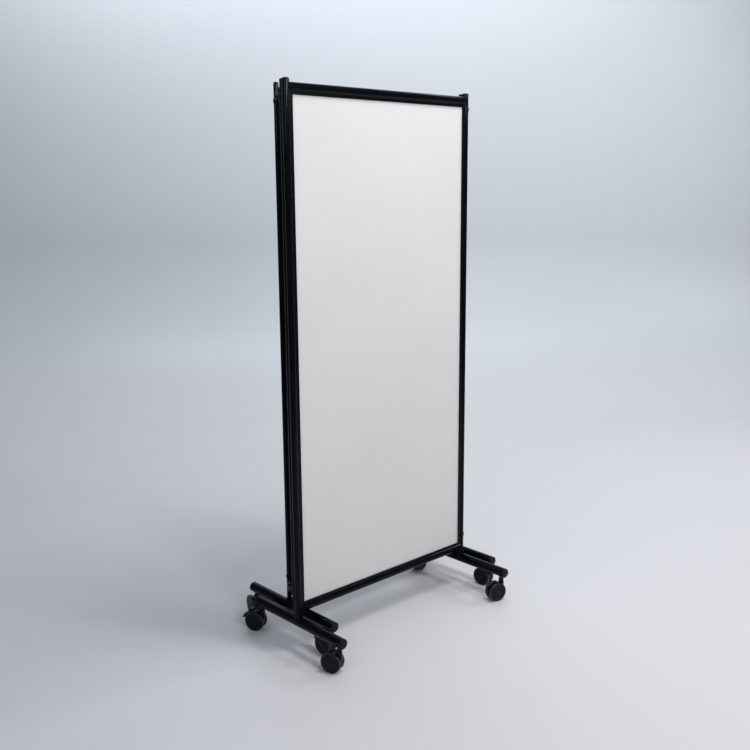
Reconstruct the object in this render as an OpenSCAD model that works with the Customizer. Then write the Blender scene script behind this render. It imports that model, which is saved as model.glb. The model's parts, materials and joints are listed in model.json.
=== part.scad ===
// Rolling three-leaf folding partition, stored folded flat.
// Three tubular frames carry a white board each. The front and the rear leaf
// stand on T-feet with twin-wheel casters; the middle leaf hangs between them
// on lap hinges, clear of the feet. X runs along the board, Y to the back, Z up.

/* [Leaf] */
// Clear width of the board between the edge channels
opening_w = 743; // [600:1:900]
// Height of the lower edge of the clear board above the floor
opening_z0 = 165.5; // [160:0.5:170]
// Height of the upper edge of the clear board above the floor
opening_z1 = 1753; // [1500:1:1900]
// Thickness of the board
board_t = 6; // [4:0.5:8]
// Distance from a post's axis to the edge of the clear board
post_inset = 20; // [18:0.5:22]

/* [Tubes] */
// Diameter of the front frame's posts
front_post_d = 22; // [20:0.5:23]
// Diameter of the front frame's rails
front_rail_d = 28.5; // [26:0.5:29]
// Diameter of the posts of the middle and the rear frame
wing_post_d = 16; // [15:0.5:17]
// Diameter of the rails of the middle and the rear frame
wing_rail_d = 22; // [20:0.5:23]
// Wall of the posts and rails
tube_wall = 1.5; // [1:0.1:2]
// Diameter of the foot tubes
foot_d = 34; // [30:0.5:34]
// Length of a foot over its caps
foot_len = 446; // [420:2:480]
// Height of the foot tube's axis above the floor
foot_z = 102.1; // [102:0.1:104]

/* [Casters] */
// Diameter of the wheels
wheel_d = 68; // [62:1:69]
// Width of one wheel
wheel_w = 14; // [10:0.5:14]
// Offset from the swivel axis to the axle
trail = 24.3; // [22:0.1:26]
// Distance of each caster stem from the middle of its foot
stem_reach = 201; // [190:1:204]

/* [Folded pack] */
// Sideways step from the front leaf to the middle leaf
mid_dx = 7; // [6:0.5:8]
// Step to the back from the front leaf to the middle leaf
mid_dy = 26; // [26:0.5:27]
// Sideways step from the front leaf to the rear leaf
rear_dx = 55; // [54:1:58]
// Step to the back from the front leaf to the rear leaf
rear_dy = 118; // [116:1:120]

/* [Hidden] */
$fn = 64;

// middle of the whole model's box, in the leaf frame (x from the clear board's left edge)
cx = 387.34;
cy = 71.73;

leaf_w = opening_w + 2*post_inset;          // post axis to post axis
xl = -post_inset;                            // left post axis of the front leaf
xr = opening_w + post_inset;                 // right post axis
post_top = 1794;                             // upper end of every post tube
cap_top = 1800;
fr = front_post_d/2;  wr = wing_post_d/2;
fR = front_rail_d/2;  wR = wing_rail_d/2;
rail_zt = opening_z1 + 21.4;                 // axis of the top rails
rail_zb = opening_z0 - 19.1;                 // axis of the bottom rails
hang_z = 134;                                // lower end of the middle posts
ftR = foot_d/2;
front_foot_y = 0;                            // middle of the front feet
rear_foot_y = rear_dy - 13;                  // middle of the rear feet
stem_r = 4;
bolt_r = 3.5;
wc = wheel_d/2;                              // wheel centre height

// hinge axes, chosen so that the three leaves stand in one line when unfolded
gapf = 2.5;
p1 = [(xr + xr + mid_dx + fr + wr + gapf)/2, mid_dy/2];
p2 = [(xl + rear_dx + xl + mid_dx - 2*wr - gapf)/2, (mid_dy + rear_dy)/2];
hz_t = 1748;                                 // lower face of the top lap hinges
hz_b = 197;                                  // lower face of the bottom lap hinges
pl = 3;                                      // hinge plate thickness

// x, y, heading of the trail in degrees, brake fitted
CAST = [
 [xl, front_foot_y + stem_reach, 118, true],
 [xl, front_foot_y - stem_reach, 113, false],
 [xr, front_foot_y - stem_reach, 165, false],
 [xr, front_foot_y + stem_reach, 190, true],
 [xl + rear_dx, rear_foot_y + stem_reach, 76, false],
 [xl + rear_dx, rear_foot_y - stem_reach, 95, true],
 [xr + rear_dx, rear_foot_y - stem_reach, 95, false],
 [xr + rear_dx, rear_foot_y + stem_reach, 140, true]
];

module place() { translate([-cx, -cy, 0]) children(); }

module vtube(x, y, z0, z1, r, w) {
  translate([x, y, z0]) difference() {
    cylinder(h = z1 - z0, r = r);
    translate([0, 0, -1]) cylinder(h = z1 - z0 + 2, r = r - w);
  }
}
module vcyl(x, y, z0, z1, r) { translate([x, y, z0]) cylinder(h = z1 - z0, r = r); }
module ycyl(x, y0, y1, z, r) { translate([x, y0, z]) rotate([-90, 0, 0]) cylinder(h = y1 - y0, r = r); }
module xcyl(x0, x1, y, z, r) { translate([x0, y, z]) rotate([0, 90, 0]) cylinder(h = x1 - x0, r = r); }

// post that stands on a foot tube, its lower end coped to the tube
module standing_post(x, y, r) {
  difference() {
    vtube(x, y, 105, post_top, r, tube_wall);
    ycyl(x, y - 40, y + 40, foot_z, ftR + 0.03);
  }
}

// rail between two posts, coped onto them, closed near the ends
module rail(dx, y, z, R, r) {
  a = xl + dx; b = xr + dx;
  difference() {
    xcyl(a + 5, b - 5, y, z, R);
    xcyl(a + r + 16, b - r - 16, y, z, R - tube_wall);
    vcyl(a, y, z - R - 2, z + R + 2, r + 0.03);
    vcyl(b, y, z - R - 2, z + R + 2, r + 0.03);
  }
}

module board(dx, y) {
  lip = 6.5;
  t = board_t - 0.6;                         // the rim in the channels is rebated 0.3 on each face
  translate([dx - lip, y - t/2, opening_z0 - 4.2])
    cube([opening_w + 2*lip, t, opening_z1 - opening_z0 + 8.4]);
  translate([dx + 0.4, y - board_t/2, opening_z0 + 0.4])
    cube([opening_w - 0.8, board_t, opening_z1 - opening_z0 - 0.8]);
}

// four straight channels that frame the board; the grooves face the board
module edge_channel(dx, y, r, R, depth) {
  g = board_t - 0.5;
  d = depth;
  // sides
  for (s = [0, 1]) translate([dx + (s == 0 ? 0 : opening_w), y, 0]) mirror([s, 0, 0])
    difference() {
      translate([-post_inset + r - 2.5, -d/2, opening_z0 + 0.05]) cube([post_inset - r + 2.5, d, opening_z1 - opening_z0 - 0.1]);
      translate([-7, -g/2, opening_z0 - 1]) cube([8, g, opening_z1 - opening_z0 + 2]);
      vcyl(-post_inset, 0, opening_z0 - 1, opening_z1 + 1, r + 0.05);
    }
  // top and bottom
  for (s = [0, 1]) {
    za = s == 0 ? rail_zb + R - 2.5 : opening_z1;
    zb = s == 0 ? opening_z0 : rail_zt - R + 2.5;
    difference() {
      translate([dx - post_inset + r - 2.5, y - d/2, za]) cube([opening_w + 2*(post_inset - r + 2.5), d, zb - za]);
      translate([dx - 7, y - g/2, s == 0 ? opening_z0 - 4.3 : opening_z1 - 1]) cube([opening_w + 14, g, 5.3]);
      xcyl(dx - post_inset, dx + opening_w + post_inset, y, s == 0 ? rail_zb : rail_zt, R + 0.05);
      for (e = [-post_inset, opening_w + post_inset]) vcyl(dx + e, y, za - 1, zb + 1, r + 0.05);
    }
  }
}

// foot tube with the welded socket ring for the post and holes for the stems
module foot(x, yc, py, r) {
  difference() {
    union() {
      ycyl(x, yc - foot_len/2 + 5, yc + foot_len/2 - 5, foot_z, ftR);
      vcyl(x, py, foot_z + 4, foot_z + ftR + 9, r + 3.2);
    }
    ycyl(x, yc - foot_len/2 + 4, yc + foot_len/2 - 4, foot_z, ftR - tube_wall);
    vcyl(x, py, foot_z + ftR - 0.6, foot_z + ftR + 12, r + 0.03);
    difference() {
      vcyl(x, py, foot_z, foot_z + ftR + 12, r + 0.03);
      ycyl(x, py - 40, py + 40, foot_z, ftR - 0.01);
    }
    for (s = [-1, 1]) vcyl(x, yc + s*stem_reach, foot_z - ftR - 1, foot_z, stem_r + 0.03);
  }
}

// domed plug, opening along +Z: skirt inside the tube, dome outside
module plug(r, w, h, skirt) {
  rotate_extrude() polygon(concat(
    [[0, -skirt], [r - w - 0.05, -skirt], [r - w - 0.05, 0], [r, 0]],
    [for (i = [0:8]) let (a = i*90/8) [r - h + h*cos(a), (h*0.35) + (h*0.65)*sin(a)]],
    [[0, h]]));
}
module foot_caps(xa, xb, yc) {
  for (x = [xa, xb]) {
    translate([x, yc + foot_len/2 - 5, foot_z]) rotate([-90, 0, 0]) plug(ftR, tube_wall, 5, 10);
    translate([x, yc - foot_len/2 + 5, foot_z]) rotate([90, 0, 0]) plug(ftR, tube_wall, 5, 10);
  }
}
module post_caps(xa, xb, y, r, low) {
  for (x = [xa, xb]) {
    translate([x, y, post_top]) plug(r, tube_wall, cap_top - post_top, 16);
    if (low) translate([x, y, hang_z]) rotate([180, 0, 0]) plug(r, tube_wall, 4, 14);
  }
}
module stems(xa, xb, yc) {
  for (x = [xa, xb], s = [-1, 1]) vcyl(x, yc + s*stem_reach, 63.6, foot_z + 6, stem_r);
}
module stem_nuts(xa, xb, yc) {
  for (x = [xa, xb], s = [-1, 1]) translate([x, yc + s*stem_reach, 81.7]) difference() {
    intersection() { cylinder(h = 3.3, r = 8, $fn = 6); cylinder(h = 3.3, r = 7.6); }
    translate([0, 0, -1]) cylinder(h = 6, r = stem_r + 0.03);
  }
}

// lap hinge plate: collar on the post at c, eye of radius e round the axis at p
module hinge_plate(c, p, r, wall, e, hole, z0, z1, cz0, cz1, inner) {
  v = p - c; L = norm(v); a = atan2(v[1], v[0]);
  difference() {
    union() {
      difference() {
        vcyl(c[0], c[1], cz0, cz1, r + wall);
        // a collar near the axis keeps clear of the bolt's head
        if (L < r + wall + e) vcyl(p[0], p[1], z1, cz1 + 5, e);
        // and is open on the side of the edge channel
        translate([c[0] + (inner > 0 ? r - 2.5 : -r + 2.5 - 20), c[1] - 20, cz0 - 1]) cube([20, 40, cz1 - cz0 + 2]);
      }
      difference() {
        translate([c[0], c[1], z0]) rotate([0, 0, a]) {
          translate([L, 0, 0]) cylinder(h = z1 - z0, r = e);
          translate([0, -e*0.65, 0]) cube([L, e*1.3, z1 - z0]);
        }
        // an arm that starts beside the edge channel is notched round it
        if (inner > 0 && v[0] > 0) translate([c[0], c[1] - 12, z0 - 1]) cube([30, 18.5, z1 - z0 + 2]);
      }
    }
    vcyl(c[0], c[1], cz0 - 5, cz1 + 5, r + 0.03);
    vcyl(p[0], p[1], z0 - 1, z1 + 1, hole);
  }
}
c_r3 = [xr, 0];
c_r2 = [xr + mid_dx, mid_dy];
c_t2 = [xl + mid_dx, mid_dy];
c_t1 = [xl + rear_dx, rear_dy];

module front_hinge_plates() { color([0.07, 0.07, 0.08])
  for (z = [hz_t, hz_b]) hinge_plate(c_r3, p1, fr, 2, 6, bolt_r + 0.02, z, z + pl, z - 8, z + pl, -1);
}
module middle_hinge_plates() { color([0.07, 0.07, 0.08])
  for (z = [hz_t + 4, hz_b + 4]) hinge_plate(c_r2, p1, wr, 2, 6, bolt_r + 0.06, z, z + pl, z, z + pl + 8, -1);
}
// on the left side the middle leaf's arm lies above the rear arm at the top and below it at the bottom
module middle_hinge_arms() { color([0.07, 0.07, 0.08]) {
  hinge_plate(c_t2, p2, wr, 2, 8, bolt_r + 0.06, hz_t + 4, hz_t + 4 + pl, hz_t + 4, hz_t + 14.5, 1);
  hinge_plate(c_t2, p2, wr, 2, 8, bolt_r + 0.06, hz_b, hz_b + pl, hz_b - 9, hz_b + pl - 0.5, 1);
  // clamp ring above the lower arm
  difference() {
    vcyl(c_t2[0], c_t2[1], hz_b + 13, hz_b + 24, wr + 2);
    vcyl(c_t2[0], c_t2[1], hz_b + 12, hz_b + 25, wr + 0.03);
    translate([c_t2[0] + wr - 2.5, c_t2[1] - 20, hz_b + 12]) cube([20, 40, 13]);
  }
}}
module rear_hinge_arms() { color([0.07, 0.07, 0.08]) {
  hinge_plate(c_t1, p2, wr, 2, 8, bolt_r + 0.02, hz_t, hz_t + pl, hz_t - 9, hz_t + pl - 0.5, 1);
  hinge_plate(c_t1, p2, wr, 2, 8, bolt_r + 0.02, hz_b + 4, hz_b + 4 + pl, hz_b + 4, hz_b + 12, 1);
}}

// hinge bolt along +Z from the fixed plate: nut below, shank, head of height hh above the turning plate
module hinge_bolt(hr, hh, nr) {
  rotate_extrude() polygon([
    [0, -5], [nr - 1, -5], [nr, -4], [nr, 0], [bolt_r, 0], [bolt_r, 2*pl + 1.3],
    [hr, 2*pl + 1.3], [hr, 2*pl + 1.3 + hh - 1.5], [hr - 1.5, 2*pl + 1.3 + hh], [0, 2*pl + 1.3 + hh]]);
}
module hinge_washer(r) { difference() { cylinder(h = 0.7, r = r); translate([0, 0, -1]) cylinder(h = 3, r = bolt_r + 0.04); } }

module right_hinge_bolts() { color([0.3, 0.3, 0.32])
  for (z = [hz_t, hz_b]) translate([p1[0], p1[1], z]) hinge_bolt(5.4, 4, 5.4); }
module right_hinge_washers() { color([0.1, 0.1, 0.1])
  for (z = [hz_t, hz_b]) translate([p1[0], p1[1], z + pl]) hinge_washer(5.4); }
module left_hinge_bolts() { color([0.3, 0.3, 0.32]) {
  translate([p2[0], p2[1], hz_t]) hinge_bolt(5, 14.5, 6.5);
  translate([p2[0], p2[1], hz_b + 4 + pl]) mirror([0, 0, 1]) hinge_bolt(5, 17.5, 6.5); }}
module left_hinge_washers() { color([0.1, 0.1, 0.1]) {
  translate([p2[0], p2[1], hz_t + pl]) hinge_washer(7);
  translate([p2[0], p2[1], hz_b + 4]) mirror([0, 0, 1]) hinge_washer(7); }}

// caster parts in their own frame: swivel axis on Z, trail along +X, axle along Y
module at_caster(i) { translate([CAST[i][0], CAST[i][1], 0]) rotate([0, 0, CAST[i][2]]) children(); }
hood_ri = wc + 0.8;
hood_ro = wc + 3.8;
fin = 4.9;                                   // half thickness of the web between the wheels
wheel_in = 5.5;                              // inner face of a wheel
wheel_out = wheel_in + wheel_w;
neck_r = 9;                                  // neck that takes the stem
piv = [trail + 41.5*cos(80), wc + 41.5*sin(80)]; // brake pivot

module pie(r, a0, a1, n) {
  polygon(concat([[0, 0]], [for (i = [0:n]) let (a = a0 + (a1 - a0)*i/n) [r*cos(a), r*sin(a)]]));
}
module xz(y0, y1) { translate([0, y1, 0]) rotate([90, 0, 0]) linear_extrude(height = y1 - y0) children(); }

module housing(brake) {
  difference() {
    union() {
      translate([0, 0, 44]) cylinder(h = 37.2, r = neck_r);
      // web between the wheels, from the neck down to the axle
      intersection() {
        translate([trail, fin, wc]) rotate([90, 0, 0]) cylinder(h = 2*fin, r = 33);
        xz(-fin, fin) translate([trail, wc]) pie(60, brake ? 66 : 100, 186, 4);
      }
      translate([trail, fin, wc]) rotate([90, 0, 0]) cylinder(h = 2*fin, r = 25);
      if (brake) {
        // saddle over the tyres that carries the pedal
        intersection() {
          translate([trail, wheel_out - 1, wc]) rotate([90, 0, 0]) cylinder(h = 2*wheel_out - 2, r = hood_ro);
          xz(-wheel_out, wheel_out) translate([trail, wc]) pie(60, 66, 128, 3);
        }
        for (s = [-1, 1]) xz(s > 0 ? 7.4 : -10, s > 0 ? 10 : -7.4) {
          translate(piv) circle(r = 3.6);
          polygon([[piv[0] - 3.6, piv[1]], [piv[0] + 3.6, piv[1]], [trail + 36*cos(70), wc + 36*sin(70)], [trail + 36*cos(92), wc + 36*sin(92)]]);
        }
        translate([piv[0], 10, piv[1]]) rotate([90, 0, 0]) cylinder(h = 20, r = 1.5);
      }
    }
    // room for the wheels
    for (s = [0, 1]) mirror([0, s, 0]) translate([trail, wheel_out + 5, wc]) rotate([90, 0, 0]) cylinder(h = wheel_w + 5.6, r = hood_ri);
    translate([0, 0, 63.2]) cylinder(h = 30, r = stem_r + 0.05);
    translate([trail, 20, wc]) rotate([90, 0, 0]) cylinder(h = 40, r = 3.05);
  }
}

module wheel_profile() {
  // radius, distance from the middle plane
  polygon([[3, wheel_in], [25.5, wheel_in], [27, wheel_in + 0.8], [31.5, wheel_in + 0.8], [33.1, wheel_in + 1.6], [wc, wheel_in + 3],
    [wc, wheel_out - 3.4], [wc - 0.5, wheel_out - 1.9], [wc - 1.6, wheel_out - 0.7], [wc - 3.2, wheel_out - 0.1], [wc - 5, wheel_out],
    [wc - 6, wheel_out - 1.6], [10, wheel_out - 1.1], [8.8, wheel_out], [0, wheel_out + 0.6], [0, wheel_in + 1], [3, wheel_in + 1]]);
}
module wheels() {
  translate([trail, 0, wc]) {
    for (s = [0, 1]) mirror([0, s, 0]) rotate([-90, 0, 0]) rotate_extrude() wheel_profile();
    rotate([-90, 0, 0]) translate([0, 0, -wheel_in - 1]) cylinder(h = 2*wheel_in + 2, r = 3);
  }
}

module brake() {
  difference() {
    union() {
      // shell close over the tyres
      xz(-11.5, 11.5) translate([trail, wc]) difference() { pie(38.1, 15, 62, 24); circle(r = 35); }
      // beak for the toe, flat on top
      xz(-11.5, 11.5) translate([trail, wc]) difference() {
        polygon([[35*cos(15), 35*sin(15)], [39.5, 8.2], [42.5, 6.4], [44.6, 4.9], [45.3, 5.8], [44.2, 11], [41.5, 16.6], [37.5, 21.6], [32, 25.2], [37.6*cos(48), 37.6*sin(48)], [35.1*cos(42), 35.1*sin(42)]]);
        circle(r = 35);
      }
      // arm over the saddle to the pin
      xz(-7, 7) {
        translate(piv) circle(r = 3.4);
        translate([trail, wc]) difference() { pie(44, 50, 80, 10); circle(r = 38); }
      }
    }
    translate([piv[0], 20, piv[1]]) rotate([90, 0, 0]) cylinder(h = 40, r = 1.56);
  }
}

black = [0.07, 0.07, 0.08];
module front_left_post() { color(black) standing_post(xl, 0, fr); }
module front_right_post() { color(black) standing_post(xr, 0, fr); }
module front_top_rail() { color(black) rail(0, 0, rail_zt, fR, fr); }
module front_bottom_rail() { color(black) rail(0, 0, rail_zb, fR, fr); }
module front_board() { color([0.9, 0.9, 0.89]) board(0, 0); }
module front_edge_channel() { color(black) edge_channel(0, 0, fr, fR, 14); }
module front_left_foot() { color(black) foot(xl, front_foot_y, 0, fr); }
module front_right_foot() { color(black) foot(xr, front_foot_y, 0, fr); }
module front_foot_caps() { color([0.1, 0.1, 0.1]) foot_caps(xl, xr, front_foot_y); }
module front_post_caps() { color([0.1, 0.1, 0.1]) post_caps(xl, xr, 0, fr, false); }
module front_caster_stems() { color([0.6, 0.6, 0.62]) stems(xl, xr, front_foot_y); }
module front_stem_nuts() { color([0.7, 0.7, 0.72]) stem_nuts(xl, xr, front_foot_y); }

module middle_left_post() { color(black) vtube(xl + mid_dx, mid_dy, hang_z, post_top, wr, tube_wall); }
module middle_right_post() { color(black) vtube(xr + mid_dx, mid_dy, hang_z, post_top, wr, tube_wall); }
module middle_top_rail() { color(black) rail(mid_dx, mid_dy, rail_zt, wR, wr); }
module middle_bottom_rail() { color(black) rail(mid_dx, mid_dy, rail_zb, wR, wr); }
module middle_board() { color([0.9, 0.9, 0.89]) board(mid_dx, mid_dy); }
module middle_edge_channel() { color(black) edge_channel(mid_dx, mid_dy, wr, wR, 12); }
module middle_post_caps() { color([0.1, 0.1, 0.1]) post_caps(xl + mid_dx, xr + mid_dx, mid_dy, wr, true); }

module rear_left_post() { color(black) standing_post(xl + rear_dx, rear_dy, wr); }
module rear_right_post() { color(black) standing_post(xr + rear_dx, rear_dy, wr); }
module rear_top_rail() { color(black) rail(rear_dx, rear_dy, rail_zt, wR, wr); }
module rear_bottom_rail() { color(black) rail(rear_dx, rear_dy, rail_zb, wR, wr); }
module rear_board() { color([0.9, 0.9, 0.89]) board(rear_dx, rear_dy); }
module rear_edge_channel() { color(black) edge_channel(rear_dx, rear_dy, wr, wR, 12); }
module rear_left_foot() { color(black) foot(xl + rear_dx, rear_foot_y, rear_dy, wr); }
module rear_right_foot() { color(black) foot(xr + rear_dx, rear_foot_y, rear_dy, wr); }
module rear_foot_caps() { color([0.1, 0.1, 0.1]) foot_caps(xl + rear_dx, xr + rear_dx, rear_foot_y); }
module rear_post_caps() { color([0.1, 0.1, 0.1]) post_caps(xl + rear_dx, xr + rear_dx, rear_dy, wr, false); }
module rear_caster_stems() { color([0.6, 0.6, 0.62]) stems(xl + rear_dx, xr + rear_dx, rear_foot_y); }
module rear_stem_nuts() { color([0.7, 0.7, 0.72]) stem_nuts(xl + rear_dx, xr + rear_dx, rear_foot_y); }

module caster_housing(i) { color([0.09, 0.09, 0.1]) at_caster(i) housing(CAST[i][3]); }
module caster_wheels(i) { color([0.13, 0.13, 0.15]) at_caster(i) wheels(); }
module caster_brake(i) { color([0.12, 0.12, 0.13]) at_caster(i) brake(); }

place() front_left_post();
place() front_right_post();
place() front_top_rail();
place() front_bottom_rail();
place() front_board();
place() front_edge_channel();
place() front_left_foot();
place() front_right_foot();
place() front_foot_caps();
place() front_post_caps();
place() front_caster_stems();
place() front_stem_nuts();
place() front_hinge_plates();
place() middle_left_post();
place() middle_right_post();
place() middle_top_rail();
place() middle_bottom_rail();
place() middle_board();
place() middle_edge_channel();
place() middle_post_caps();
place() middle_hinge_plates();
place() middle_hinge_arms();
place() rear_left_post();
place() rear_right_post();
place() rear_top_rail();
place() rear_bottom_rail();
place() rear_board();
place() rear_edge_channel();
place() rear_left_foot();
place() rear_right_foot();
place() rear_foot_caps();
place() rear_post_caps();
place() rear_caster_stems();
place() rear_stem_nuts();
place() rear_hinge_arms();
place() right_hinge_bolts();
place() right_hinge_washers();
place() left_hinge_bolts();
place() left_hinge_washers();
place() caster_housing(0);  // caster_1_housing
place() caster_housing(1);  // caster_2_housing
place() caster_housing(2);  // caster_3_housing
place() caster_housing(3);  // caster_4_housing
place() caster_housing(4);  // caster_5_housing
place() caster_housing(5);  // caster_6_housing
place() caster_housing(6);  // caster_7_housing
place() caster_housing(7);  // caster_8_housing
place() caster_wheels(0);  // caster_1_wheels
place() caster_wheels(1);  // caster_2_wheels
place() caster_wheels(2);  // caster_3_wheels
place() caster_wheels(3);  // caster_4_wheels
place() caster_wheels(4);  // caster_5_wheels
place() caster_wheels(5);  // caster_6_wheels
place() caster_wheels(6);  // caster_7_wheels
place() caster_wheels(7);  // caster_8_wheels
place() caster_brake(0);  // caster_1_brake
place() caster_brake(3);  // caster_4_brake
place() caster_brake(5);  // caster_6_brake
place() caster_brake(7);  // caster_8_brake
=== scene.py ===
import json
import math
import bmesh
import bpy
from mathutils import Matrix, Vector


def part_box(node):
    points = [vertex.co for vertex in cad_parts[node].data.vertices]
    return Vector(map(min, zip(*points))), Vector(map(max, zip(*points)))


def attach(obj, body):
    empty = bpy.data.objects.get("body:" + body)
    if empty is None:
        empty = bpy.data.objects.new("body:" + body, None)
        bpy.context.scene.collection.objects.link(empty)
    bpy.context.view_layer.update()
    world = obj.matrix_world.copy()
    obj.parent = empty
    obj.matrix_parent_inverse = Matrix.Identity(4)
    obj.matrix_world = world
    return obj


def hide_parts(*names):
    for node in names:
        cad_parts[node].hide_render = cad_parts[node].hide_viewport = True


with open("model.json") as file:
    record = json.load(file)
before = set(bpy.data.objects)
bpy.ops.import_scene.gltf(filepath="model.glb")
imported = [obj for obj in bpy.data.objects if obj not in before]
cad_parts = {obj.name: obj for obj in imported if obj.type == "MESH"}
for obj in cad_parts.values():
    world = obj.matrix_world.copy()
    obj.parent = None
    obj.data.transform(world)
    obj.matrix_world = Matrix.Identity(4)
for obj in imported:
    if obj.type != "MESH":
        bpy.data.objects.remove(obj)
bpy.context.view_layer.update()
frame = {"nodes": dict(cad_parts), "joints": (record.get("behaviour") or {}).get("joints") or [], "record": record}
NODES = frame["nodes"]
RECORD = frame["record"]
JOINTS = {j["name"]: j for j in frame["joints"]}
scene = bpy.context.scene

# The leaf frame used below: x from the left edge of the clear board, y to the
# back from the middle of the front board, z up from the floor, millimetres.
CX, CY = 387.34, 71.73


def P(x, y, z):
    return Vector(((x - CX) / 1000, (y - CY) / 1000, z / 1000))


# ---------------------------------------------------------------- camera
def make_camera():
    yaw, pitch, roll = math.radians(47.051), math.radians(11.324), math.radians(-0.419)
    fwd = Vector((math.cos(yaw) * math.cos(pitch), math.sin(yaw) * math.cos(pitch), -math.sin(pitch)))
    right0 = Vector((math.sin(yaw), -math.cos(yaw), 0))
    up0 = right0.cross(fwd)
    right = math.cos(roll) * right0 + math.sin(roll) * up0
    up = right.cross(fwd)
    cam = bpy.data.objects.new("camera", bpy.data.cameras.new("camera"))
    scene.collection.objects.link(cam)
    m = Matrix((right, up, -fwd)).transposed().to_4x4()
    m.translation = P(-1772.3, -2255.0, 1486.8)
    cam.matrix_world = m
    cam.data.sensor_width = 36.0
    cam.data.lens = 940.7 / 750 * 36.0
    cam.data.clip_start, cam.data.clip_end = 0.05, 60
    scene.camera = cam
    return cam


cam = make_camera()


# ---------------------------------------------------------------- materials
class Tree:
    """Small helper that builds one node material."""

    def __init__(self, name):
        self.mat = bpy.data.materials.new(name)
        self.mat.use_nodes = True
        self.nt = self.mat.node_tree
        self.nt.nodes.clear()
        self.out = self.add("ShaderNodeOutputMaterial")
        self.bsdf = self.add("ShaderNodeBsdfPrincipled")
        self.link(self.bsdf.outputs[0], self.out.inputs[0])
        self.coord = self.add("ShaderNodeTexCoord").outputs["Object"]

    def add(self, kind, **values):
        n = self.nt.nodes.new(kind)
        for k, v in values.items():
            setattr(n, k, v)
        return n

    def link(self, a, b):
        self.nt.links.new(a, b)

    def noise(self, scale, detail=3.0, rough=0.55, distort=0.0, vec=None):
        n = self.add("ShaderNodeTexNoise")
        n.inputs["Scale"].default_value = scale
        n.inputs["Detail"].default_value = detail
        n.inputs["Roughness"].default_value = rough
        n.inputs["Distortion"].default_value = distort
        self.link(vec or self.coord, n.inputs["Vector"])
        return n.outputs["Fac"]

    def stretched(self, sx, sy, sz):
        m = self.add("ShaderNodeMapping")
        m.inputs["Scale"].default_value = (sx, sy, sz)
        self.link(self.coord, m.inputs["Vector"])
        return m.outputs["Vector"]

    def ramp(self, fac, stops):
        r = self.add("ShaderNodeValToRGB")
        e = r.color_ramp.elements
        while len(e) < len(stops):
            e.new(0.5)
        for i, (pos, col) in enumerate(stops):
            e[i].position = pos
            e[i].color = (*col, 1) if len(col) == 3 else col
        self.link(fac, r.inputs["Fac"])
        return r.outputs["Color"]

    def range(self, fac, a, b, lo, hi):
        r = self.add("ShaderNodeMapRange")
        for k, v in zip(("From Min", "From Max", "To Min", "To Max"), (a, b, lo, hi)):
            r.inputs[k].default_value = v
        self.link(fac, r.inputs["Value"])
        return r.outputs["Result"]

    def mix(self, fac, a, b):
        m = self.add("ShaderNodeMix", data_type="RGBA")
        if isinstance(fac, float):
            m.inputs[0].default_value = fac
        else:
            self.link(fac, m.inputs[0])
        for sock, v in ((m.inputs[6], a), (m.inputs[7], b)):
            if isinstance(v, tuple):
                sock.default_value = (*v, 1)
            else:
                self.link(v, sock)
        return m.outputs[2]

    def math(self, op, a, b=None):
        m = self.add("ShaderNodeMath", operation=op)
        for sock, v in ((m.inputs[0], a), (m.inputs[1], b)):
            if v is None:
                continue
            if isinstance(v, (int, float)):
                sock.default_value = v
            else:
                self.link(v, sock)
        return m.outputs[0]

    def edge(self, radius, lo=0.02, hi=0.25):
        """0 on flats, 1 on sharp edges: where paint wears."""
        bv = self.add("ShaderNodeBevel", samples=4)
        bv.inputs["Radius"].default_value = radius
        geo = self.add("ShaderNodeNewGeometry")
        dot = self.add("ShaderNodeVectorMath", operation="DOT_PRODUCT")
        self.link(bv.outputs["Normal"], dot.inputs[0])
        self.link(geo.outputs["Normal"], dot.inputs[1])
        return self.range(self.math("SUBTRACT", 1.0, dot.outputs["Value"]), lo, hi, 0.0, 1.0)

    def bump(self, height, strength, distance, rounded=None):
        b = self.add("ShaderNodeBump")
        b.inputs["Strength"].default_value = strength
        b.inputs["Distance"].default_value = distance
        self.link(height, b.inputs["Height"])
        if rounded:
            bv = self.add("ShaderNodeBevel", samples=4)
            bv.inputs["Radius"].default_value = rounded
            self.link(bv.outputs["Normal"], b.inputs["Normal"])
        self.link(b.outputs["Normal"], self.bsdf.inputs["Normal"])

    def set(self, **values):
        for k, v in values.items():
            name = k.replace("_", " ")
            self.bsdf.inputs[name].default_value = v


def powder_coat(name, base=(0.0009, 0.0010, 0.0024), lift=(0.0018, 0.0019, 0.0044), rough=(0.09, 0.14), wear=True, spec=0.12):
    t = Tree(name)
    cloud = t.noise(14.0, 4.0, 0.6)
    speck = t.noise(900.0, 2.0, 0.6)
    col = t.mix(t.range(cloud, 0.3, 0.7, 0.0, 1.0), base, lift)
    dust = t.range(t.math("MULTIPLY", t.noise(55.0, 5.0, 0.65), speck), 0.30, 0.5, 0.0, 0.3)
    col = t.mix(dust, col, (0.02, 0.02, 0.022))
    if wear:
        e = t.math("MULTIPLY", t.edge(0.0016), t.range(t.noise(160.0, 4.0, 0.7), 0.5, 0.72, 0.0, 1.0))
        col = t.mix(t.math("MULTIPLY", e, 0.45), col, (0.06, 0.06, 0.063))
    t.link(col, t.bsdf.inputs["Base Color"])
    t.link(t.range(t.noise(40.0, 4.0, 0.6), 0.3, 0.7, *rough), t.bsdf.inputs["Roughness"])
    peel = t.math("ADD", t.math("MULTIPLY", t.noise(420.0, 3.0, 0.55), 1.0), t.math("MULTIPLY", speck, 0.25))
    t.bump(peel, 0.06, 0.0003, rounded=0.0006)
    t.set(IOR=1.5)
    t.set(Specular_IOR_Level=spec)
    return t.mat


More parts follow.
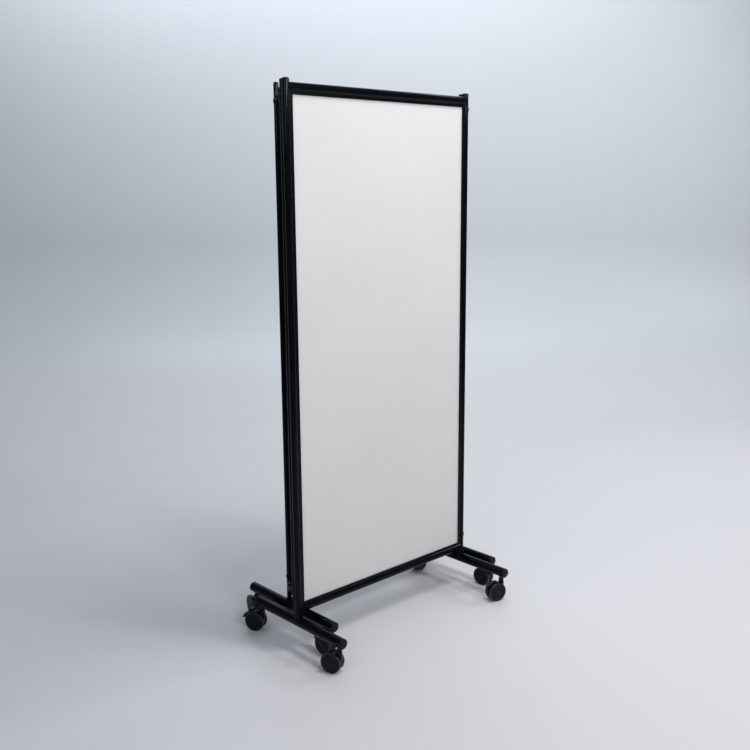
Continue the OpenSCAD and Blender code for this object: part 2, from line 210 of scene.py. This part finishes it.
def plastic(name, a, b, rough, scale=600.0, strength=0.2, wear=(0.035, 0.035, 0.039), wear_amount=0.5, rounded=0.0006, spec=0.5):
    t = Tree(name)
    col = t.mix(t.range(t.noise(30.0, 4.0, 0.6), 0.3, 0.7, 0.0, 1.0), a, b)
    if wear_amount:
        e = t.math("MULTIPLY", t.edge(0.0012), t.range(t.noise(240.0, 4.0, 0.7), 0.42, 0.68, 0.0, 1.0))
        col = t.mix(t.math("MULTIPLY", e, wear_amount), col, wear)
    t.link(col, t.bsdf.inputs["Base Color"])
    t.link(t.range(t.noise(70.0, 4.0, 0.6), 0.3, 0.7, *rough), t.bsdf.inputs["Roughness"])
    t.bump(t.noise(scale, 3.0, 0.6), strength, 0.0003, rounded=rounded)
    t.set(Specular_IOR_Level=spec)
    return t.mat


def metal(name, a, b, rough, rounded=0.0003, stretch=None):
    t = Tree(name)
    col = t.mix(t.range(t.noise(120.0, 4.0, 0.6), 0.3, 0.7, 0.0, 1.0), a, b)
    t.link(col, t.bsdf.inputs["Base Color"])
    t.link(t.range(t.noise(300.0, 4.0, 0.6), 0.3, 0.7, *rough), t.bsdf.inputs["Roughness"])
    vec = t.stretched(*stretch) if stretch else None
    t.bump(t.noise(700.0, 3.0, 0.6, vec=vec), 0.15, 0.0002, rounded=rounded)
    t.set(Metallic=1.0)
    return t.mat


def board_material(name):
    t = Tree(name)
    broad = t.noise(2.2, 3.0, 0.5)
    fine = t.noise(28.0, 5.0, 0.6)
    col = t.mix(t.range(broad, 0.3, 0.7, 0.0, 1.0), (0.60, 0.60, 0.59), (0.625, 0.625, 0.617))
    col = t.mix(t.range(fine, 0.45, 0.75, 0.0, 0.25), col, (0.585, 0.585, 0.577))
    # darker close to the lower rail, in noisy patches
    sep = t.add("ShaderNodeSeparateXYZ")
    t.link(t.coord, sep.inputs[0])
    low = t.range(sep.outputs["Z"], 0.165, 0.30, 1.0, 0.0)
    col = t.mix(t.math("MULTIPLY", t.math("MULTIPLY", low, t.range(t.noise(90.0, 6.0, 0.7), 0.4, 0.8, 0.0, 1.0)), 0.18), col, (0.46, 0.452, 0.437))
    t.link(col, t.bsdf.inputs["Base Color"])
    t.link(t.range(t.noise(9.0, 4.0, 0.6), 0.3, 0.7, 0.48, 0.6), t.bsdf.inputs["Roughness"])
    grain = t.math("ADD", t.noise(1100.0, 2.0, 0.5), t.math("MULTIPLY", t.noise(3.0, 2.0, 0.5), 3.0))
    t.bump(grain, 0.12, 0.0004)
    return t.mat


M = {
    "frame": powder_coat("black_powder_coat"),
    "edge_channel": powder_coat("channel_coat", (0.0014, 0.0014, 0.0024), (0.003, 0.003, 0.0045), (0.14, 0.20), spec=0.10),
    "hinge": powder_coat("hinge_coat", (0.003, 0.003, 0.0038), (0.006, 0.006, 0.008), (0.20, 0.28), spec=0.14),
    "board": board_material("board_white"),
    "cap": plastic("cap_black", (0.002, 0.002, 0.0026), (0.004, 0.004, 0.005), (0.26, 0.36), spec=0.18),
    "steel": metal("zinc_steel", (0.62, 0.63, 0.66), (0.78, 0.79, 0.82), (0.16, 0.3)),
    "nut": metal("nut_dark_zinc", (0.10, 0.10, 0.11), (0.20, 0.20, 0.21), (0.2, 0.34)),
    "hub": metal("hub_dark", (0.02, 0.02, 0.023), (0.06, 0.06, 0.065), (0.25, 0.4)),
    "bolt": metal("bolt_black_steel", (0.045, 0.045, 0.05), (0.10, 0.10, 0.105), (0.24, 0.4)),
    "nylon": plastic("nylon_black", (0.006, 0.006, 0.0065), (0.012, 0.012, 0.013), (0.38, 0.5), wear_amount=0.0, spec=0.35),
    "caster_housing": plastic("caster_black", (0.002, 0.002, 0.003), (0.004, 0.004, 0.006), (0.22, 0.34), spec=0.15),
    "wheel": plastic("wheel_disc", (0.003, 0.0034, 0.006), (0.006, 0.007, 0.011), (0.26, 0.36), spec=0.15),
    "tyre": plastic("wheel_tyre", (0.003, 0.003, 0.004), (0.006, 0.006, 0.008), (0.26, 0.38), 420.0, 0.2, spec=0.4),
    "brake": plastic("brake_black", (0.002, 0.002, 0.003), (0.004, 0.0045, 0.0065), (0.22, 0.34), spec=0.16),
}

SLOT_OF = {s["node"]: s["material_slot"] for s in RECORD["subparts"]}
for name, obj in NODES.items():
    mat = M[SLOT_OF[name]]
    if not obj.material_slots:
        obj.data.materials.append(mat)
    for s in obj.material_slots:
        s.material = mat


# ---------------------------------------------------------------- mesh helpers
def new_object(name, bm, mats, smooth_angle=35.0):
    bmesh.ops.remove_doubles(bm, verts=bm.verts, dist=1e-7)
    bmesh.ops.recalc_face_normals(bm, faces=bm.faces)
    me = bpy.data.meshes.new(name)
    bm.to_mesh(me)
    bm.free()
    for m in mats:
        me.materials.append(m)
    for p in me.polygons:
        p.use_smooth = True
    o = bpy.data.objects.new(name, me)
    scene.collection.objects.link(o)
    me.set_sharp_from_angle(angle=math.radians(smooth_angle))
    return o


def lathe(bm, profile, segs, place=Matrix(), closed=False, mats=None):
    """Turns (radius, height) points round local Z. mats gives a material index for each profile step."""
    rings = []
    for r, h in profile:
        if r < 1e-6:
            rings.append([bm.verts.new(place @ Vector((0, 0, h)))])
        else:
            rings.append([bm.verts.new(place @ Vector((r * math.cos(2 * math.pi * k / segs), r * math.sin(2 * math.pi * k / segs), h))) for k in range(segs)])
    pairs = list(zip(rings, rings[1:])) + ([(rings[-1], rings[0])] if closed else [])
    for i, (a, b) in enumerate(pairs):
        for k in range(segs):
            k2 = (k + 1) % segs
            if len(a) == 1 and len(b) == 1:
                continue
            if len(a) == 1:
                f = bm.faces.new((a[0], b[k2], b[k]))
            elif len(b) == 1:
                f = bm.faces.new((a[k], a[k2], b[0]))
            else:
                f = bm.faces.new((a[k], a[k2], b[k2], b[k]))
            f.material_index = mats[i] if mats else 0


def sweep(bm, rings, place=Matrix(), mat=0, closed_ring=True, cap=True):
    """Joins rings of equal point count into a tube."""
    vs = [[bm.verts.new(place @ Vector(p)) for p in ring] for ring in rings]
    n = len(vs[0])
    for a, b in zip(vs, vs[1:]):
        for k in range(n if closed_ring else n - 1):
            k2 = (k + 1) % n
            f = bm.faces.new((a[k], a[k2], b[k2], b[k]))
            f.material_index = mat
    if cap:
        for ring in (vs[0], vs[-1]):
            f = bm.faces.new(ring)
            f.material_index = mat


def rounded_rect(x0, x1, y0, y1, r, n=3):
    pts = []
    for cx, cy, a0 in ((x1 - r, y1 - r, 0), (x0 + r, y1 - r, 90), (x0 + r, y0 + r, 180), (x1 - r, y0 + r, 270)):
        for i in range(n + 1):
            a = math.radians(a0 + 90 * i / n)
            pts.append((cx + r * math.cos(a), cy + r * math.sin(a)))
    return pts


def slab(bm, outline, y0, y1, bevel, place=Matrix(), mat=0, n=2):
    """An outline in local XZ made thick along Y, its rim rounded by pulling the outer rings in."""
    m = len(outline)
    area2 = sum(outline[i][0] * outline[(i + 1) % m][1] - outline[(i + 1) % m][0] * outline[i][1] for i in range(m))
    sgn = 1 if area2 > 0 else -1

    def inset(d):
        pts = []
        for i in range(m):
            p0, p1, p2 = Vector(outline[i - 1]), Vector(outline[i]), Vector(outline[(i + 1) % m])
            e1, e2 = (p1 - p0).normalized(), (p2 - p1).normalized()
            n1, n2 = Vector((-e1.y, e1.x)) * sgn, Vector((-e2.y, e2.x)) * sgn
            b = (n1 + n2)
            b = b / max(b.length_squared / 2, 0.35)
            pts.append(p1 + b * d)
        return pts

    rings = [(y0 + bevel * (1 - math.cos(math.pi / 2 * i / n)), bevel * (1 - math.sin(math.pi / 2 * i / n))) for i in range(n + 1)]
    rings += [(y1 - bevel * (1 - math.cos(math.pi / 2 * (n - i) / n)), bevel * (1 - math.sin(math.pi / 2 * (n - i) / n))) for i in range(n + 1)]
    sweep(bm, [[(p.x, y, p.y) for p in inset(d)] for y, d in rings], place, mat)


def scaled(place):
    return place @ Matrix.Scale(0.001, 4)


# ---------------------------------------------------------------- casters
TRAIL, WC = 24.3, 34.0
PIV = (TRAIL + 41.5 * math.cos(math.radians(80)), WC + 41.5 * math.sin(math.radians(80)))


def on_arc(r, deg):
    a = math.radians(deg)
    return TRAIL + r * math.cos(a), WC + r * math.sin(a)


def arc_band(bm, r0, r1, half, a0, a1, place, mat=0, corner=1.0, steps=30, taper=None):
    """A curved plate round the axle between two radii, its section a rounded rectangle."""
    rings = []
    for i in range(steps + 1):
        t = i / steps
        a = a0 + (a1 - a0) * t
        h = half
        if taper:
            h = half * taper(t)
        sec = rounded_rect(r0, r1, -h, h, min(corner, (r1 - r0) * 0.49))
        rings.append([(on_arc(r, a)[0], y, on_arc(r, a)[1]) for r, y in sec])
    sweep(bm, rings, place, mat)


def end_round(t):
    """Width factor that rounds off the two ends of a band."""
    d = min(t, 1 - t) / 0.05
    return 1.0 if d >= 1 else 0.86 + 0.14 * math.sqrt(max(0.0, 1 - (1 - d) ** 2))


def make_wheels(i, place):
    bm = bmesh.new()
    tyre = [(28.1, 6.6), (29.1, 6.0), (31.1, 6.1), (32.7, 6.7), (33.6, 7.6), (34.0, 9.0), (34.0, 16.2), (33.75, 17.4), (33.1, 18.4),
            (32.1, 19.0), (30.9, 19.25), (29.7, 19.2), (28.9, 18.8), (28.5, 18.1)]
    disc = [(28.5, 18.1), (27.9, 17.9), (27.3, 18.3), (26.0, 18.9), (23.7, 19.15), (21.0, 19.0), (14.5, 18.3), (11.8, 18.1), (11.0, 18.3),
            (10.5, 19.0), (9.8, 19.4), (7.9, 19.55), (5.4, 19.6), (3.6, 19.5), (3.3, 19.1)]
    rivet = [(3.3, 19.1), (3.0, 19.5), (2.2, 19.85), (1.1, 20.0), (0.0, 20.05)]
    inner = [(28.1, 6.6), (27.1, 6.2), (25.9, 5.6), (12.6, 5.6), (8.3, 5.5), (6.0, 5.5), (3.0, 5.6), (3.0, 0.0)]
    for s in (1, -1):
        m = place @ Matrix.Translation((TRAIL, 0, WC)) @ Matrix.Rotation(math.radians(-90 * s), 4, "X")
        lathe(bm, tyre, 72, m, mats=[1] * len(tyre))
        lathe(bm, disc, 72, m, mats=[0] * len(disc))
        lathe(bm, rivet, 72, m, mats=[2] * len(rivet))
        lathe(bm, inner, 72, m, mats=[0] * 6 + [2] * 2)
    o = new_object("twin_wheels_%d" % i, bm, [M["wheel"], M["tyre"], M["hub"]], 40)
    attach(o, "wheels_%d" % i)
    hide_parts("caster_%d_wheels" % i)
    return o


def hood_z(x, r):
    return WC + math.sqrt(max(r * r - (x - TRAIL) ** 2, 0.0))


def make_housing(i, place, braked):
    bm = bmesh.new()
    if braked:
        # saddle over the tyres that carries the pedal, with a low rib along its middle
        arc_band(bm, 34.85, 37.75, 18.4, 66, 128, place, corner=1.3, steps=26, taper=end_round)
        arc_band(bm, 37.3, 38.2, 2.0, 84, 112, place, corner=0.4, steps=12, taper=end_round)
    # web between the wheels
    a0 = 66 if braked else 100
    out = [on_arc(32.9, a0 + (186 - a0) * k / 30) for k in range(31)]
    out += [on_arc(24.9, 196 + (360 + a0 - 12 - 196) * k / 40) for k in range(41)]
    slab(bm, out, -4.85, 4.85, 0.7, place)
    # neck, its lower end curved to clear the tyres, then a flat tongue down into the web
    n = 48
    low = ((0, 11.0, 36.3), (0, 10.2, 38.0), (0, 9.5, 39.6), (0, 9.1, 41.6)) if braked else ((0, 7.6, 34.95), (0, 8.6, 35.1), (0, 9.0, 35.9))
    rings = []
    for kind, r, dz in (*low, (1, 9.0, 66.0), (1, 9.0, 74.0), (1, 8.55, 74.6), (1, 8.55, 76.2), (1, 9.0, 76.8), (1, 9.0, 80.0), (1, 8.5, 80.9), (1, 7.2, 81.2),
                        (1, 4.6, 81.2), (1, 4.3, 80.7), (1, 4.3, 70.0)):
        ring = []
        for k in range(n):
            a = 2 * math.pi * k / n
            x, y = r * math.cos(a), r * math.sin(a)
            ring.append((x, y, hood_z(x, dz) if kind == 0 else dz))
        rings.append(ring)
    sweep(bm, rings, place, cap=not braked)
    tongue = [(-8.2, 44.6), (-7.4, 44.0), (2.0, 44.0), (8.5, 50.0), (8.9, 66.0), (-8.9, 66.0), (-8.9, 46.0)]
    slab(bm, tongue, -4.8, 4.8, 0.6, place)
    if braked:
        for s in (-1, 1):
            ear = [on_arc(36.3, 92), (PIV[0] - 3.5, PIV[1] - 1.0)]
            ear += [(PIV[0] + 3.5 * math.cos(math.radians(a)), PIV[1] + 3.5 * math.sin(math.radians(a))) for a in range(180, -1, -20)]
            ear += [(PIV[0] + 3.5, PIV[1] - 1.0), on_arc(36.3, 70)]
            y0, y1 = sorted((7.45 * s, 9.95 * s))
            slab(bm, ear[::-1], y0, y1, 0.5, place)
        m = place @ Matrix.Translation((PIV[0], 0, PIV[1])) @ Matrix.Rotation(math.radians(90), 4, "X")
        lathe(bm, [(0, -10.3), (1.4, -10.3), (1.5, -10.1), (1.5, 10.1), (1.4, 10.3), (0, 10.3)], 24, m, mats=[1] * 5)
    o = new_object("caster_body_%d" % i, bm, [M["caster_housing"], M["nut"]], 38)
    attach(o, "caster_%d" % i)
    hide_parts("caster_%d_housing" % i)
    return o


def make_brake(i, place):
    bm = bmesh.new()
    # side view: a shell close over the tyres that ends in a flat-topped beak for the toe
    outer = [on_arc(38.1, a) for a in range(62, 47, -3)]
    beak = [(TRAIL + x, WC + z) for x, z in ((28.6, 26.6), (32.0, 25.1), (34.9, 23.4), (37.5, 21.5), (39.7, 19.2), (41.5, 16.5), (43.0, 13.8),
            (44.2, 10.9), (45.0, 8.0), (45.2, 5.9), (44.5, 5.1), (42.5, 6.5), (39.5, 8.3), (36.8, 8.9))]
    inner = [on_arc(35.05, a) for a in range(15, 63, 3)]
    slab(bm, outer + beak + inner, -11.4, 11.4, 0.9, place)
    # grip ridges across the toe plate
    for x, z in ((32.9, 24.2), (35.6, 22.5), (37.9, 20.6), (39.9, 18.3)):
        m = place @ Matrix.Translation((TRAIL + x, 0, WC + z)) @ Matrix.Rotation(math.radians(90), 4, "X")
        lathe(bm, [(0, -8.6), (0.55, -8.5), (0.75, -8.2), (0.75, 8.2), (0.55, 8.5), (0, 8.6)], 12, m)
    # knuckle on the pin and the arm that reaches over the saddle
    m = place @ Matrix.Translation((PIV[0], 0, PIV[1])) @ Matrix.Rotation(math.radians(90), 4, "X")
    lathe(bm, [(1.6, -6.9), (2.9, -6.9), (3.3, -6.5), (3.3, 6.5), (2.9, 6.9), (1.6, 6.9)], 32, m, closed=True)
    arm = [on_arc(38.05, a) for a in range(52, 77, 3)] + [on_arc(43.8, 77)] + [on_arc(43.8, a) for a in range(74, 58, -3)] + [on_arc(42.3, 54), on_arc(39.5, 51)]
    slab(bm, arm, -6.9, 6.9, 0.6, place)
    o = new_object("brake_pedal_%d" % i, bm, [M["brake"]], 38)
    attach(o, "brake_%d" % i)
    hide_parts("caster_%d_brake" % i)
    return o


for i in range(1, 9):
    sw, ro = Vector(JOINTS["swivel_%d" % i]["pos_m"]), Vector(JOINTS["roll_%d" % i]["pos_m"])
    d = ro - sw
    place = scaled(Matrix.Translation((sw.x, sw.y, 0)) @ Matrix.Rotation(math.atan2(d.y, d.x), 4, "Z"))
    braked = "brake_%d_lift" % i in JOINTS
    make_wheels(i, place)
    make_housing(i, place, braked)
    if braked:
        make_brake(i, place)


# ---------------------------------------------------------------- stem nuts
def make_nuts(name, ids, body, node):
    bm = bmesh.new()
    for i in ids:
        sw = Vector(JOINTS["swivel_%d" % i]["pos_m"])
        place = scaled(Matrix.Translation((sw.x, sw.y, 0)))
        lathe(bm, [(4.05, 81.75), (7.2, 81.75), (7.5, 82.0), (7.5, 82.5), (7.2, 82.75), (4.05, 82.75)], 40, place, closed=True)
        # hexagon with turned corners
        rings = []
        for z, cut in ((82.75, 6.9), (83.15, 7.3), (84.5, 7.3), (84.95, 6.9)):
            ring = []
            for k in range(48):
                a = 2 * math.pi * k / 48
                flat = 6.5 / math.cos((a + math.radians(20)) % math.radians(60) - math.radians(30))
                r = min(flat, cut)
                ring.append((r * math.cos(a), r * math.sin(a), z))
            rings.append(ring)
        sweep(bm, rings, place)
    o = new_object(name, bm, [M["nut"]], 30)
    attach(o, body)
    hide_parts(node)


make_nuts("stem_nuts_front", (1, 2, 3, 4), "front_leaf", "front_stem_nuts")
make_nuts("stem_nuts_rear", (5, 6, 7, 8), "rear_leaf", "rear_stem_nuts")


# ---------------------------------------------------------------- caps
FOOT_R, FOOT_Z = 17.0, 102.1


def make_foot_caps(name, node, body):
    """Domed plugs in the four open ends of the foot tubes, each with a moulded ring."""
    lo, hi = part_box(node)
    r = FOOT_R
    bm = bmesh.new()
    prof = [(15.35, -9.0), (15.35, -0.2), (16.35, -0.2), (16.75, 0.05), (16.95, 0.5), (16.75, 1.5), (16.0, 2.7), (14.85, 3.7), (13.3, 4.35), (11.9, 4.6),
            (11.5, 4.35), (11.1, 3.9), (10.3, 3.9), (9.9, 4.35), (9.4, 4.7), (5.5, 4.95), (2.2, 5.0), (1.4, 4.7), (0.0, 4.6)]
    for x in (lo.x + r / 1000, hi.x - r / 1000):
        for y, s in ((hi.y - 0.005, 1), (lo.y + 0.005, -1)):
            m = scaled(Matrix.Translation((x, y, FOOT_Z / 1000)) @ Matrix.Rotation(math.radians(-90 * s), 4, "X"))
            lathe(bm, prof, 56, m)
    o = new_object(name, bm, [M["cap"]], 50)
    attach(o, body)
    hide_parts(node)


make_foot_caps("foot_plugs_front", "front_foot_caps", "front_leaf")
make_foot_caps("foot_plugs_rear", "rear_foot_caps", "rear_leaf")


def make_post_caps(name, node, body, r, low):
    lo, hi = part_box(node)
    y = (lo.y + hi.y) / 2
    bm = bmesh.new()
    prof = [(r - 1.6, -10.0), (r - 1.6, -0.15), (r - 0.7, -0.15), (r - 0.2, 0.1), (r, 0.6), (r, 2.2), (r - 0.25, 3.3), (r - 1.0, 4.5), (r - 2.2, 5.4),
            (r - 3.8, 5.9), (r * 0.4, 6.0), (0.0, 6.0)]
    for x in (lo.x + r / 1000, hi.x - r / 1000):
        lathe(bm, prof, 48, scaled(Matrix.Translation((x, y, 1.794))))
        if low:
            k = [(a, b * 0.66) for a, b in prof]
            lathe(bm, k, 48, scaled(Matrix.Translation((x, y, lo.z + 0.004)) @ Matrix.Rotation(math.pi, 4, "X")))
    o = new_object(name, bm, [M["cap"]], 50)
    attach(o, body)
    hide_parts(node)


make_post_caps("post_plugs_front", "front_post_caps", "front_leaf", 11.0, False)
make_post_caps("post_plugs_middle", "middle_post_caps", "middle_leaf", 8.0, True)
make_post_caps("post_plugs_rear", "rear_post_caps", "rear_leaf", 8.0, False)


# ---------------------------------------------------------------- welds
def bead(bm, pts, r, seed, mat=0):
    """A weld bead: a thin rope whose thickness ripples along its closed path."""
    n = len(pts)
    rings = []
    for i in range(n):
        p0, p1, p2 = Vector(pts[i - 1]), Vector(pts[i]), Vector(pts[(i + 1) % n])
        t = (p2 - p0).normalized()
        u = t.orthogonal().normalized()
        w = t.cross(u)
        rr = r * (1 + 0.10 * math.sin(i * 1.7 + seed) + 0.05 * math.sin(i * 0.53 + 2 * seed))
        rings.append([p1 + (u * math.cos(a) + w * math.sin(a)) * rr for a in (2 * math.pi * k / 8 for k in range(8))])
    # keep neighbouring rings in step
    for i in range(1, n):
        best = min(range(8), key=lambda s: sum((rings[i][(k + s) % 8] - rings[i - 1][k]).length for k in range(8)))
        rings[i] = [rings[i][(k + best) % 8] for k in range(8)]
    shift = min(range(8), key=lambda s: sum((rings[0][(k + s) % 8] - rings[-1][k]).length for k in range(8)))
    rings.append([rings[0][(k + shift) % 8] for k in range(8)])
    vs = [[bm.verts.new(p) for p in ring] for ring in rings]
    for a, b in zip(vs, vs[1:]):
        for k in range(8):
            f = bm.faces.new((a[k], a[(k + 1) % 8], b[(k + 1) % 8], b[k]))
            f.material_index = mat


def rail_weld(bm, px, y, z, rail_r, post_r, side, seed):
    """Where a rail is coped on a post: the curve that lies on both round surfaces."""
    pts = []
    n = 96
    for k in range(n):
        a = 2 * math.pi * k / n
        yy, zz = rail_r * math.cos(a), rail_r * math.sin(a)
        if abs(yy) <= post_r * 0.93:
            xx = math.sqrt(post_r ** 2 - yy ** 2)
        else:
            xx = None
        pts.append((xx, yy, zz))
    # only the stretches above and below, where the rail really meets the post
    for sign in (1, -1):
        run = [(px + side * (xx + 0.2), y + yy, z + zz) for xx, yy, zz in pts if xx is not None and zz * sign > 0]
        run.sort(key=lambda p: p[1])
        rope(bm, run, 1.15, seed + sign)


def rope(bm, pts, r, seed):
    n = len(pts)
    if n < 3:
        return
    prev = None
    rings = []
    for i in range(n):
        p0, p1, p2 = Vector(pts[max(i - 1, 0)]), Vector(pts[i]), Vector(pts[min(i + 1, n - 1)])
        t = (p2 - p0).normalized()
        u = (prev - t * prev.dot(t)).normalized() if prev else t.orthogonal().normalized()
        prev = u
        w = t.cross(u)
        e = min(i, n - 1 - i) / max(2.0, n * 0.12)
        rr = r * (0.35 + 0.65 * min(1.0, e)) * (1 + 0.10 * math.sin(i * 1.9 + seed))
        rings.append([p1 + (u * math.cos(a) + w * math.sin(a)) * rr for a in (2 * math.pi * k / 8 for k in range(8))])
    sweep(bm, rings, Matrix.Translation(P(0, 0, 0)) @ Matrix.Scale(0.001, 4))


def make_welds(name, body, posts, y, post_r, rail_r, zt, zb, feet, socket):
    bm = bmesh.new()
    seed = 1.0
    for px, side in posts:
        for z in (zt, zb):
            rail_weld(bm, px, y, z, rail_r, post_r, side, seed)
            seed += 1.3
        if feet:
            ring = []
            for k in range(72):
                a = 2 * math.pi * k / 72
                ring.append((px + (post_r + 0.35) * math.cos(a), y + (post_r + 0.35) * math.sin(a), FOOT_Z + FOOT_R + 9.1))
            closed_bead(bm, ring, 0.95, seed)
            saddle = []
            for k in range(96):
                a = 2 * math.pi * k / 96
                dx = min(socket, FOOT_R - 0.15) * math.cos(a)
                saddle.append((px + (socket + 0.25) * math.cos(a), y + (socket + 0.25) * math.sin(a), FOOT_Z + math.sqrt(FOOT_R ** 2 - dx ** 2) + 0.3))
            closed_bead(bm, saddle, 1.0, seed + 0.7)
    o = new_object(name, bm, [M["frame"]], 60)
    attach(o, body)


def closed_bead(bm, pts, r, seed):
    t = Matrix.Translation(P(0, 0, 0)) @ Matrix.Scale(0.001, 4)
    bead(bm, [t @ Vector(p) for p in pts], r / 1000, seed)


XL, XR = -20.0, 763.0
make_welds("welds_front", "front_leaf", ((XL, 1), (XR, -1)), 0.0, 11.0, 14.25, 1774.4, 146.4, True, 14.2)
make_welds("welds_middle", "middle_leaf", ((XL + 7, 1), (XR + 7, -1)), 26.0, 8.0, 11.0, 1774.4, 146.4, False, 0)
make_welds("welds_rear", "rear_leaf", ((XL + 55, 1), (XR + 55, -1)), 118.0, 8.0, 11.0, 1774.4, 146.4, True, 11.2)


# ---------------------------------------------------------------- stage
def stage_material(name, colour, floor, rough, glossy=0.5):
    t = Tree(name)
    col = t.mix(t.range(t.noise(0.8, 3.0, 0.5), 0.3, 0.7, 0.0, 1.0), tuple(c * 0.985 for c in colour), colour)
    sep = t.add("ShaderNodeSeparateXYZ")
    t.link(t.coord, sep.inputs[0])
    col = t.mix(t.range(sep.outputs["Z"], 0.0, 0.35, 0.0, 1.0), floor, col)
    t.link(col, t.bsdf.inputs["Base Color"])
    t.bsdf.inputs["Roughness"].default_value = rough
    t.bsdf.inputs["Specular IOR Level"].default_value = glossy
    return t.mat


def make_stage():
    """A pale floor that turns up into a backdrop behind the object, one smooth sheet."""
    yaw = math.radians(47.066)
    away = Vector((math.cos(yaw), math.sin(yaw), 0))
    side = Vector((math.sin(yaw), -math.cos(yaw), 0))
    r, dist, top = 1.1, 3.75, 4.2
    prof = [(-9.0, 0.0)]
    prof += [(x, 0.0) for x in (-5.0, -2.0, 0.0, 1.5)]
    for i in range(25):
        a = math.pi / 2 * i / 24
        prof.append((dist - r + r * math.sin(a), r - r * math.cos(a)))
    prof += [(dist, r + 1.0), (dist, top)]
    bm = bmesh.new()
    cols = [-9.0, -4.5, 0.0, 4.5, 9.0]
    grid = [[bm.verts.new(away * d + side * s + Vector((0, 0, h))) for s in cols] for d, h in prof]
    for i in range(len(prof) - 1):
        for j in range(len(cols) - 1):
            bm.faces.new((grid[i][j], grid[i][j + 1], grid[i + 1][j + 1], grid[i + 1][j]))
    bmesh.ops.recalc_face_normals(bm, faces=bm.faces)
    me = bpy.data.meshes.new("backdrop")
    bm.to_mesh(me)
    bm.free()
    for p in me.polygons:
        p.use_smooth = True
    o = bpy.data.objects.new("backdrop", me)
    scene.collection.objects.link(o)
    me.materials.append(stage_material("backdrop_pale", (0.56, 0.58, 0.62), (0.575, 0.575, 0.592), 0.42, 0.35))
    return o


make_stage()


def area(name, loc, target, size, energy, colour=(1, 1, 1), size_y=None):
    d = bpy.data.lights.new(name, "AREA")
    d.energy = energy
    d.color = colour
    d.shape = "RECTANGLE"
    d.size = size
    d.size_y = size_y or size
    o = bpy.data.objects.new(name, d)
    scene.collection.objects.link(o)
    o.location = loc
    o.rotation_mode = "QUATERNION"
    o.rotation_quaternion = (Vector(target) - Vector(loc)).to_track_quat("-Z", "Y")
    return o


world = bpy.data.worlds.new("world")
world.use_nodes = True
world.node_tree.nodes["Background"].inputs[0].default_value = (0.80, 0.85, 0.92, 1)
world.node_tree.nodes["Background"].inputs[1].default_value = 0.22
scene.world = world
# key in front of the board and to its right: its shadow falls over the floor to the left
area("key", (1.15, -2.75, 2.3), (0.0, 0.0, 0.9), 0.42, 25, (1.0, 0.99, 0.97))
# second light beside the camera: the board's shadow darkens the left of the backdrop
area("beside_camera", (-0.95, -3.0, 2.25), (0.1, 0.2, 1.2), 0.5, 30, (0.96, 0.98, 1.0))
area("overhead", (0.3, -1.0, 3.6), (0.2, -0.4, 0.0), 0.9, 48, (1.0, 1.0, 0.99))
area("left_rim", (-2.6, -0.9, 2.35), (-0.4, 0, 1.5), 0.5, 14, (0.72, 0.82, 1.0), 1.3)
area("wall_wash", (1.35, 1.85, 4.3), (2.5, 2.8, 2.3), 5.5, 125, (0.93, 0.97, 1.0), 0.5)
area("right_floor", (3.4, -1.2, 2.6), (1.2, 0.4, 0.0), 0.9, 38, (0.97, 0.98, 1.0))

scene.view_settings.view_transform = "Standard"
scene.view_settings.look = "None"
